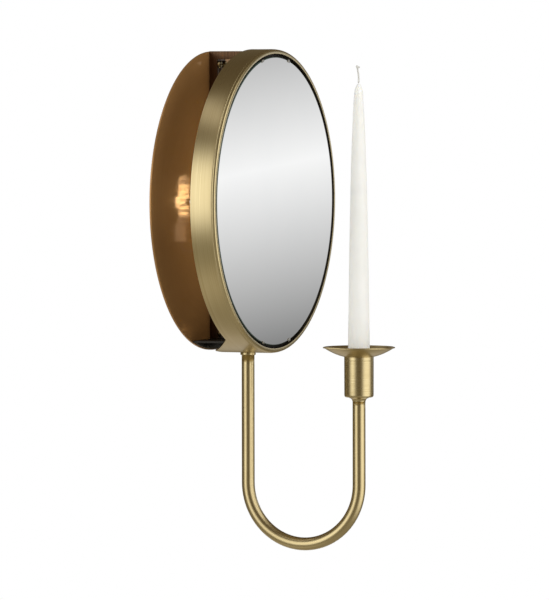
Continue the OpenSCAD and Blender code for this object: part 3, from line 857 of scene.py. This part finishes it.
def top_screw():
    """The countersunk screw in the top of the band, with its cross recess."""
    lo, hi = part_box("top_screw")
    y = (lo.y + hi.y) / 2
    top = hi.z
    prof = rounded([(0, top, 0), (3.9 * MM, top, 0.25 * MM), (2.0 * MM, top - 1.9 * MM, 0.2 * MM),
                    (2.0 * MM, lo.z, 0.3 * MM), (0, lo.z, 0)], 4)
    v, f = lathe_data(prof, "Z", (0, y, 0), 36, False)
    obj = piece("top_screw_piece", v, f, BRASS_PARTS, "top_screw", 35.0)
    cutters = []
    for sx, sy in ((0.45, 2.1), (2.1, 0.45)):
        bv, bf = box_mesh((-sx * MM, y - sy * MM, top - 1.0 * MM), (sx * MM, y + sy * MM, top + 1 * MM))
        cutters.append(scratch("cutter", bv, bf))
    cut(obj, cutters, 35.0)


def arm():
    """One swept tube: down, round a half circle and up to the cup."""
    bend_r = (ARM_Y - CUP_Y) / 2
    bend_z = ARM_LO.z + ARM_R + bend_r
    root = COLLAR_LO.z
    pts = []
    for k in range(13):
        pts.append((0, ARM_Y, root + (bend_z - root) * k / 13))
    mid = (ARM_Y + CUP_Y) / 2
    for k in range(49):
        t = math.pi * k / 48
        pts.append((0, mid + bend_r * math.cos(t), bend_z - bend_r * math.sin(t)))
    for k in range(1, 14):
        pts.append((0, CUP_Y, bend_z + (TUBE_END - bend_z) * k / 13))
    sweep("arm_tube_piece", pts, ARM_R, BRASS_TUBE, "arm_tube", 56)


def collar():
    """The turned ring between the tongue and the tube's root."""
    r = COLLAR_HI.x
    lo, hi = COLLAR_LO.z, COLLAR_HI.z
    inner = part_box("arm_nipple")[1].x + 0.05 * MM
    prof = rounded([(inner, lo, 0), (r, lo, 0.5 * MM), (r, hi, 0.3 * MM), (inner, hi, 0)], 4)
    lathe("arm_collar_piece", prof, "Z", (0, ARM_Y, 0), BRASS_CUP, "arm_collar", 64)


def cup():
    """Turned cup: rounded foot, a fine groove under the rim, a bored socket with a stepped mouth."""
    r, top, base = CUP_R, CUP_TOP, CUP_BASE
    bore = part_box("candle")[1].x + 0.6 * MM
    mouth = bore + 1.15 * MM
    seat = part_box("candle")[0].z
    prof = rounded([
        (3.3 * MM, base, 0),
        (r - 0.1 * MM, base, 2.6 * MM),
        (r, top - 4.2 * MM, 0),
        (r, top - 3.9 * MM, 0.1 * MM),
        (r - 0.18 * MM, top - 3.7 * MM, 0.1 * MM),
        (r, top - 3.5 * MM, 0.1 * MM),
        (r, top, 0.5 * MM),
        (mouth, top, 0.25 * MM),
        (mouth, top - 5.6 * MM, 0.1 * MM),
        (bore, top - 5.7 * MM, 0.2 * MM),
        (bore, seat, 0.3 * MM),
        (5.3 * MM, seat, 0.1 * MM),
        (5.3 * MM, seat - 3.4 * MM, 0),
        (3.3 * MM, seat - 3.4 * MM, 0),
    ], 6)
    lathe("candle_cup_piece", prof, "Z", (0, CUP_Y, 0), BRASS_CUP, "candle_cup", 96)


def neck():
    """A concave flare from the tube to the underside of the cup, with a small fillet ring."""
    lo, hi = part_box("cup_neck")
    r0, r1 = ARM_R + 0.1 * MM, hi.x
    prof = [(3.3 * MM, lo.z), (r0, lo.z)]
    steps = 12
    for k in range(1, steps + 1):
        t = k / steps
        flare = (1 - math.sqrt(max(0.0, 1 - t * t))) ** 0.8
        prof.append((r0 + (r1 - r0) * flare, lo.z + (hi.z - lo.z - 0.7 * MM) * t))
    prof += [(r1, hi.z - 0.25 * MM), (r1 - 0.2 * MM, hi.z), (3.3 * MM, hi.z)]
    lathe("cup_neck_piece", prof, "Z", (0, CUP_Y, 0), BRASS_CUP, "cup_neck", 72)


def drip_pan():
    """A spun dish with a rolled rim, and the turned ring brazed into its hole."""
    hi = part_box("drip_pan")[1]
    r_lo, r_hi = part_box("pan_sleeve")
    rim = hi.x
    t = r_hi.z - CUP_TOP
    flat = CUP_R + 1 * MM
    base = CUP_TOP
    rise = hi.z - base
    c = (rim ** 2 + rise ** 2 - flat ** 2) / (2 * rise)
    big = math.sqrt(flat ** 2 + c ** 2)
    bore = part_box("candle")[1].x + 0.6 * MM
    sleeve = r_hi.x
    roll = 0.55 * MM

    def outer(r):
        return base + c - math.sqrt(big ** 2 - r ** 2)

    def inner(r):
        return max(base + t, base + c - math.sqrt((big - t) ** 2 - r ** 2))

    steps = 18
    prof = [(sleeve, base)]
    prof += [(r, outer(r)) for r in (flat + (rim - 0.5 * MM - flat) * k / steps for k in range(steps + 1))]
    for k in range(9):
        a = math.radians(-40 + 180 * k / 8)
        prof.append((rim - roll + roll * math.cos(a), hi.z - roll + roll * math.sin(a)))
    last = rim - 1.3 * MM
    prof += [(r, inner(r)) for r in (last - (last - sleeve) * k / steps for k in range(steps + 1))]
    lathe("drip_pan_piece", prof, "Z", (0, CUP_Y, 0), BRASS_CUP, "drip_pan", 128, angle=50.0)
    ring = rounded([(bore, r_lo.z, 0.25 * MM), (sleeve, r_lo.z, 0.3 * MM), (sleeve, r_hi.z, 0.12 * MM),
                    (bore, r_hi.z, 0.3 * MM)], 4)
    lathe("pan_sleeve_piece", ring, "Z", (0, CUP_Y, 0), BRASS_CUP, "pan_sleeve", 96)


def candle():
    """A dipped taper: a soft foot, a long and slightly full taper and a drawn-out pointed tip."""
    lo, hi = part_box("candle")
    r, h = hi.x, hi.z - lo.z
    shape = [(0, 0), (0.965, 0), (0.995, 0.002), (1.0, 0.006), (0.99, 0.03), (0.955, 0.11), (0.915, 0.20),
             (0.87, 0.31), (0.825, 0.42), (0.775, 0.53), (0.72, 0.64), (0.665, 0.72), (0.60, 0.80),
             (0.535, 0.86), (0.475, 0.91), (0.425, 0.945), (0.395, 0.962), (0.37, 0.972), (0.335, 0.98),
             (0.265, 0.987), (0.185, 0.993), (0.115, 0.998), (0, 1.0)]
    prof = [(a * r, lo.z + b * h) for a, b in shape]
    obj = lathe("candle_piece", prof, "Z", (0, CUP_Y, 0), WAX, "candle", 72, closed=False, angle=60.0)
    for v in obj.data.vertices:
        t = math.atan2(v.co.y - CUP_Y, v.co.x)
        k = (v.co.z - lo.z) / h
        wave = 1 + 0.006 * math.sin(2 * t + 9 * k) + 0.004 * math.sin(3 * t - 23 * k)
        v.co.x *= wave
        v.co.y = CUP_Y + (v.co.y - CUP_Y) * wave


def wick():
    """A braided wick that leans a little and ends in a small curl."""
    lo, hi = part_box("wick")
    y, z0, z1 = CUP_Y, lo.z + 1.0 * MM, hi.z
    c, s = math.cos(math.radians(24)), math.sin(math.radians(24))

    def at(side, up):
        return (side * c * MM, y - side * s * MM, z0 + up * MM)

    top = (z1 - z0) / MM
    route = [at(0, 0), at(0.1, 2.5), at(0.1, 5), at(-0.3, 8.5), at(-1.0, 12), at(-1.7, 14.6),
             at(-2.2, 16.0), at(-2.6, top - 1.3), at(-2.1, top - 0.9), at(-1.0, top - 1.8),
             at(0.2, top - 2.2), at(0.9, top - 1.7)]
    pts = smooth_route(route, 8)
    n = len(pts)
    radii = [0.82 * MM if i < n * 0.8 else 0.9 * MM for i in range(n)]
    sweep("wick_piece", pts, radii, COTTON, "wick", 16)


def bulb_foot(cy):
    """The lamp's plastic foot and its two pins."""
    lo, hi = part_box("bulb_base")
    r, top = hi.x, hi.z
    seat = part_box("lampholder")[1].z
    prof = rounded([(0, seat + 0.05 * MM, 0), (r - 0.8 * MM, seat + 0.05 * MM, 0.3 * MM),
                    (r, seat + 1.6 * MM, 0.5 * MM), (r, top - 1.2 * MM, 0.3 * MM),
                    (r - 0.5 * MM, top - 0.9 * MM, 0.2 * MM), (r - 0.5 * MM, top, 0), (0, top, 0)], 4)
    verts, faces = lathe_data(prof, "Z", (0, cy, 0), 48, False)
    pin_r, pin_x = 0.6 * MM, 4.5 * MM
    for side in (-1, 1):
        pin = rounded([(0, lo.z, 0), (pin_r, lo.z, 0.25 * MM), (pin_r, seat + 1 * MM, 0),
                       (0, seat + 1 * MM, 0)], 3)
        v, f = lathe_data(pin, "Z", (side * pin_x, cy, 0), 16, False)
        o = len(verts)
        verts = verts + v
        faces = faces + [tuple(i + o for i in q) for q in f]
    piece("bulb_foot", verts, faces, WHITE_PLASTIC, "bulb_base", 35.0)


def bulb_board(cy):
    """An eight-sided board with a row of chips up each side. Returns the height of its middle."""
    lo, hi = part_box("bulb_core")
    sides, rows, core_r = 8, 6, 4.6 * MM
    verts, faces = [], []
    for z in (lo.z, hi.z):
        for k in range(sides):
            t = 2 * math.pi * (k + 0.5) / sides
            verts.append((core_r * math.cos(t), cy + core_r * math.sin(t), z))
    for k in range(sides):
        k2 = (k + 1) % sides
        faces.append((k, k2, sides + k2, sides + k))
    faces += [tuple(range(sides - 1, -1, -1)), tuple(range(sides, 2 * sides))]
    for k in range(sides):
        t = 2 * math.pi * k / sides
        out_dir = Vector((math.cos(t), math.sin(t), 0))
        side = Vector((-math.sin(t), math.cos(t), 0))
        for j in range(rows):
            zc = lo.z + 3.6 * MM + j * 5.6 * MM
            base = Vector((0, cy, zc)) + out_dir * (core_r * math.cos(math.pi / sides) - 0.1 * MM)
            o = len(verts)
            for depth, w, hh in ((0, 1.0, 0.8), (0.75 * MM, 1.0, 0.8), (1.0 * MM, 0.75, 0.55)):
                for sx, sz in ((-1, -1), (1, -1), (1, 1), (-1, 1)):
                    verts.append(base + out_dir * depth + side * (sx * w * MM) + Vector((0, 0, sz * hh * MM)))
            for level in (0, 4):
                for q in range(4):
                    a, b = o + level + q, o + level + (q + 1) % 4
                    faces.append((a, b, b + 4, a + 4))
            faces += [(o + 8, o + 9, o + 10, o + 11), (o + 3, o + 2, o + 1, o)]
    core = piece("bulb_board", verts, faces, LED, "bulb_core", 30.0)
    core.data.materials.append(WHITE_PLASTIC)
    for p in core.data.polygons:
        if math.hypot(p.center.x, p.center.y - cy) < core_r * 0.985 and p.area > 2e-5:
            p.material_index = 1
    core.visible_shadow = False
    return (lo.z + hi.z) / 2


def bulb_envelope(cy):
    """The clear cover with a domed end."""
    lo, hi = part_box("bulb_cover")
    r, top = hi.x, hi.z
    dome, wall, steps = 5.5 * MM, 0.8 * MM, 10
    outer = [math.pi / 2 * k / steps for k in range(1, steps)]
    inner = [math.pi / 2 * k / steps for k in range(steps - 1, -1, -1)]
    prof = [(r, lo.z), (r, top - dome)]
    prof += [(r * math.cos(a), top - dome + dome * math.sin(a)) for a in outer]
    prof += [(0, top), (0, top - wall)]
    prof += [((r - wall) * math.cos(a), top - dome + 4.7 * MM * math.sin(a)) for a in inner]
    prof += [(r - wall, lo.z)]
    v, f = lathe_data(prof, "Z", (0, cy, 0), 56, True)
    cover = piece("bulb_envelope", v, f, COVER, "bulb_cover", 50.0)
    cover.visible_shadow = False


def leads():
    """Insulated leads from the terminal block to the lampholder and the earth screw."""
    r = 1.1 * MM
    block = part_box("terminal_block")
    holder_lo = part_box("lampholder")[0].z
    bx = (block[0].x + block[1].x) / 2
    top = block[1].z
    y0 = -(PLATE_T + 9 * MM)
    for name, mat, side in (("live_lead", BROWN_PVC, 1), ("neutral_lead", BLUE_PVC, -1)):
        px = side * 4.5 * MM
        x0 = bx + side * 8 * MM
        z0 = top + (5 if side < 0 else 10) * MM
        zb = holder_lo - 6 * MM - (3 * MM if side < 0 else 0)
        a = Vector((x0, y0, top - 4.8 * MM))
        b = Vector((x0, y0, z0))
        c = Vector((px, BULB_Y, zb))
        d = Vector((px, BULB_Y, holder_lo + 3.8 * MM))
        pts = smooth_route([a, a.lerp(b, 0.6), b.lerp(c, 0.04), b.lerp(c, 0.25), b.lerp(c, 0.5),
                            b.lerp(c, 0.75), c.lerp(b, 0.06), c.lerp(d, 0.4), d], 8)
        sweep(name + "_piece", pts, r, mat, name, 14)
    e = solid_centres("earth_terminal")[0]
    y1 = -(PLATE_T + 1.2 * MM + r)
    ex, ez = e.x, e.z
    pts = smooth_route([(bx, y0, top - 4.8 * MM), (bx, y0, top + 6 * MM), (bx + 3 * MM, y0, top + 13 * MM),
                        (bx + 14 * MM, y0, top + 13 * MM), (ex + 4 * MM, y0, top + 10 * MM),
                        (ex + 11 * MM, y0, top + 5 * MM),
                        (ex + 11.5 * MM, (y0 + y1) / 2, (top + ez) / 2), (ex + 9.5 * MM, y1, ez + 0.5 * MM),
                        (ex + 6 * MM, y1, ez), (ex + 3.2 * MM, y1, ez)], 8)
    sweep("earth_lead_piece", pts, r, EARTH_PVC, "earth_lead", 14)


def spine():
    """The bent channel in the darker bronze (painted shade), with light brass on the top face of its upper
    leg as a painted highlight.
    """
    obj = refine("spine", SPINE_SHADED_BRONZE, 0.7, 3)
    obj.data.materials.append(BRASS_PARTS)
    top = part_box("spine")[1].z
    # Painted highlight: the faces at the top of the upper leg get light brass, standing in for the light
    # falling on that upward face.
    for p in obj.data.polygons:
        if p.center.z > top - 0.8 * MM:
            p.material_index = 1


def hardware():
    """The small fittings keep the CAD shape. Most have their corners broken."""
    for node, mat, width in (
        ("arm_bracket", BLACK, 0.3), ("mirror_tray", BLACK, 0.25),
        ("mirror_clips", ZINC, 0.12), ("retainer_tabs", ZINC, 0.2), ("retainer_screws", ZINC, 0.2),
        ("holder_bracket", ZINC, 0.25), ("holder_screws", ZINC, 0.2), ("lampholder", CERAMIC, 0.6),
        ("terminal_block", CREAM_PLASTIC, 0.4), ("terminal_screws", ZINC, 0.15),
        ("earth_terminal", BRASS_PARTS, 0.2), ("grommet", RUBBER, 0.5), ("top_nut", ZINC, 0.25),
        ("arm_spacer", ZINC, 0.2), ("arm_washer", ZINC, 0.15), ("arm_nut", BRASS_PARTS, 0.35),
        ("mirror_pads", FOAM, 0.2),
    ):
        refine(node, mat, width)
    for node, mat in (("arm_nipple", BRASS_PARTS), ("arm_plug", BRASS_PARTS), ("cup_screw", ZINC)):
        obj = NODES[node]
        obj.data.materials.clear()
        obj.data.materials.append(mat)


# ---------------------------------------------------------------- camera and light

CAM_AZ, CAM_EL, CAM_DIST = math.radians(-65.83), math.radians(1.30), 6.002
CAM_TARGET = Vector((0.0, -0.002, 0.0))
FLOOR_Z = -0.62


def direction(az, el):
    """The way to azimuth az and elevation el, in radians, counted from the front of the lamp."""
    return Vector((math.sin(az) * math.cos(el), -math.cos(az) * math.cos(el), math.sin(el)))


def camera():
    back = direction(CAM_AZ, CAM_EL)
    data = bpy.data.cameras.new("camera")
    data.sensor_width = 36.0
    data.lens = 363.1
    data.shift_x = 0.1013
    data.shift_y = -0.1657
    data.clip_start, data.clip_end = 0.5, 60.0
    cam = bpy.data.objects.new("camera", data)
    COLLECTION.objects.link(cam)
    cam.location = CAM_TARGET + back * CAM_DIST
    cam.rotation_mode = "QUATERNION"
    roll = Matrix.Rotation(math.radians(-0.10), 3, "Z").to_quaternion()
    cam.rotation_quaternion = (-back).to_track_quat("-Z", "Y") @ roll
    bpy.context.scene.camera = cam


def floor():
    """A large pale round floor, well below the lamp."""
    outline = [(0, FLOOR_Z), (1.2, FLOOR_Z), (1.7, FLOOR_Z), (1.9, FLOOR_Z - 0.001)]
    v, f = lathe_data(outline, "Z", (0, 0, 0), 96, False)
    obj = scratch("studio_floor", v, f)
    obj.visible_glossy = False
    paint = plain("floor_paint", (0.80, 0.80, 0.80), (0.84, 0.84, 0.83), 30.0, (0.7, 0.9), 0.05)
    obj.data.materials.append(paint)


def studio_card():
    """A graded card for the mirror to reflect, a little bowed and tilted, and placed for the main view.

    It is hidden from the camera and from diffuse light, so it shows only in reflections.
    """
    half, away, bow = 0.30, 1.2, 0.02
    side_on, tilt = math.radians(66.0), math.radians(12.0)
    toward = Vector((math.sin(side_on), -math.cos(side_on), 0.0))
    across = Vector((math.cos(side_on), math.sin(side_on), 0.0))
    turn = Matrix.Rotation(tilt, 3, toward)
    across, up = turn @ across, turn @ Vector((0, 0, 1))
    centre = Vector((0, -GLASS_FRONT, 0)) + toward * away
    cells = 8
    verts, faces = [], []
    for j in range(cells + 1):
        for i in range(cells + 1):
            u, v = 2 * i / cells - 1, 2 * j / cells - 1
            verts.append(centre + across * (u * half) + up * (v * half) + toward * (bow * u * u))
    for j in range(cells):
        for i in range(cells):
            k = j * (cells + 1) + i
            faces.append((k, k + 1, k + cells + 2, k + cells + 1))
    obj = scratch("studio_card", verts, faces)
    layer = obj.data.uv_layers.new(name="UVMap")
    for poly in obj.data.polygons:
        for li, vi in zip(poly.loop_indices, poly.vertices):
            layer.data[li].uv = ((vi % (cells + 1)) / cells, (vi // (cells + 1)) / cells)
    m = Nodes("studio_card_paper")
    m.tree.nodes.remove(m.bsdf)
    grade = m.ramp(m.split(m.uv())[1], [
        (0.15, (0.2, 0.2, 0.2)), (0.52, (0.95, 0.95, 0.95)), (0.85, (0.3, 0.3, 0.3))])
    em = m.tree.nodes.new("ShaderNodeEmission")
    m.link(grade, em.inputs[0])
    m.link(em.outputs[0], m.out.inputs[0])
    obj.data.materials.append(m.mat)
    obj.visible_camera = False
    obj.visible_diffuse = False
    obj.visible_shadow = False


def world():
    """White behind the object; for light and gloss, a dim warm room with soft boxes."""
    w = bpy.data.worlds.new("studio")
    bpy.context.scene.world = w
    w.use_nodes = True
    m = Tree(w.node_tree)
    new = m.tree.nodes.new
    out = new("ShaderNodeOutputWorld")
    coord = new("ShaderNodeTexCoord")
    x, y, z = m.split(coord.outputs["Generated"])
    az = m.math("MULTIPLY", m.math("ARCTAN2", x, m.math("MULTIPLY", y, -1.0)), 180 / math.pi)
    el = m.math("MULTIPLY", m.math("ARCSINE", z), 180 / math.pi)

    def soft_box(az0, az1, el0, el1, s_az, s_el):
        """1 inside the box and 0 outside it, with edges that fade over s_az and s_el degrees."""
        a = m.remap(az, az0 - s_az, az0 + s_az, 0, 1, True)
        b = m.remap(az, az1 - s_az, az1 + s_az, 1, 0, True)
        c = m.remap(el, el0 - s_el, el0 + s_el, 0, 1, True)
        d = m.remap(el, el1 - s_el, el1 + s_el, 1, 0, True)
        return m.math("MULTIPLY", m.math("MULTIPLY", a, b), m.math("MULTIPLY", c, d))

    colour = m.ramp(m.remap(el, -90, 90, 0, 1), [
        (0.0, (0.34, 0.30, 0.23)), (0.30, (0.29, 0.26, 0.19)), (0.47, (0.13, 0.105, 0.065)),
        (0.55, (0.12, 0.095, 0.055)), (0.75, (0.10, 0.075, 0.045)), (1.0, (0.14, 0.115, 0.075))])
    # Azimuth from and to, elevation from and to, softness of the two, and the colour.
    boxes = [
        ((-138, -100, -15, 31, 16, 12), (1.62, 1.58, 1.46)),
        ((-34, 30, -34, 58, 16, 14), (1.42, 1.38, 1.28)),
        ((-178, -92, 53, 62, 14, 7), (1.05, 0.98, 0.88)),
        ((-176, -96, -62, -46, 14, 9), (0.55, 0.50, 0.40)),
        ((95, 165, -52, -22, 12, 8), (0.50, 0.45, 0.38)),
    ]
    for dims, tint in boxes:
        colour = m.mix(soft_box(*dims), colour, tint)
    lit = new("ShaderNodeBackground")
    m.link(colour, lit.inputs[0])
    lit.inputs[1].default_value = 1.0
    white = new("ShaderNodeBackground")
    white.inputs[0].default_value = (1, 1, 1, 1)
    white.inputs[1].default_value = 1.0
    path = new("ShaderNodeLightPath")
    pick = new("ShaderNodeMixShader")
    m.link(path.outputs["Is Camera Ray"], pick.inputs[0])
    m.link(lit.outputs[0], pick.inputs[1])
    m.link(white.outputs[0], pick.inputs[2])
    m.link(pick.outputs[0], out.inputs[0])


def light(name, kind, power, colour):
    """A light that the camera and gloss don't see."""
    data = bpy.data.lights.new(name, kind)
    data.energy = power
    data.color = colour
    obj = bpy.data.objects.new(name, data)
    COLLECTION.objects.link(obj)
    obj.visible_camera = False
    obj.visible_glossy = False
    return obj


def disk_light(name, size, power, colour):
    obj = light(name, "AREA", power, colour)
    obj.data.shape = "DISK"
    obj.data.size = size
    return obj


def lights(bulb_z):
    """Three soft fills, the bulb, and the light that the housing scatters back onto the plate."""
    centre, dist = Vector((0, -0.10, -0.05)), 2.5
    for name, az, el, size, power, colour in (
        ("fill_left", -108, 10, 1.6, 25, (0.99, 1.0, 1.0)),
        ("fill_right", 0, 22, 1.8, 21, (0.99, 1.0, 1.0)),
        ("fill_top", -60, 75, 1.6, 8, (1.0, 1.0, 1.0)),
    ):
        back = direction(math.radians(az), math.radians(el))
        obj = disk_light(name, size, power, colour)
        obj.location = centre + back * dist
        obj.rotation_mode = "QUATERNION"
        obj.rotation_quaternion = (-back).to_track_quat("-Z", "Y")
    glow = light("bulb_light", "POINT", 0.12, (1.0, 0.82, 0.52))
    glow.data.shadow_soft_size = 0.006
    glow.location = (0, BULB_Y, bulb_z)
    spill = disk_light("scattered_light", 0.27, 0.13, (1.0, 0.88, 0.70))
    spill.location = (0, -0.0575, 0)
    spill.rotation_euler = (math.pi / 2, 0, 0)


# ---------------------------------------------------------------- build

camera()
housing()
backplate()
mirror()
wall_side_screws()
top_screw()
arm()
collar()
cup()
neck()
drip_pan()
candle()
wick()
bulb_foot(BULB_Y)
BULB_Z = bulb_board(BULB_Y)
bulb_envelope(BULB_Y)
leads()
spine()
hardware()
floor()
studio_card()
world()
lights(BULB_Z)
bpy.context.scene.view_settings.view_transform = "Standard"
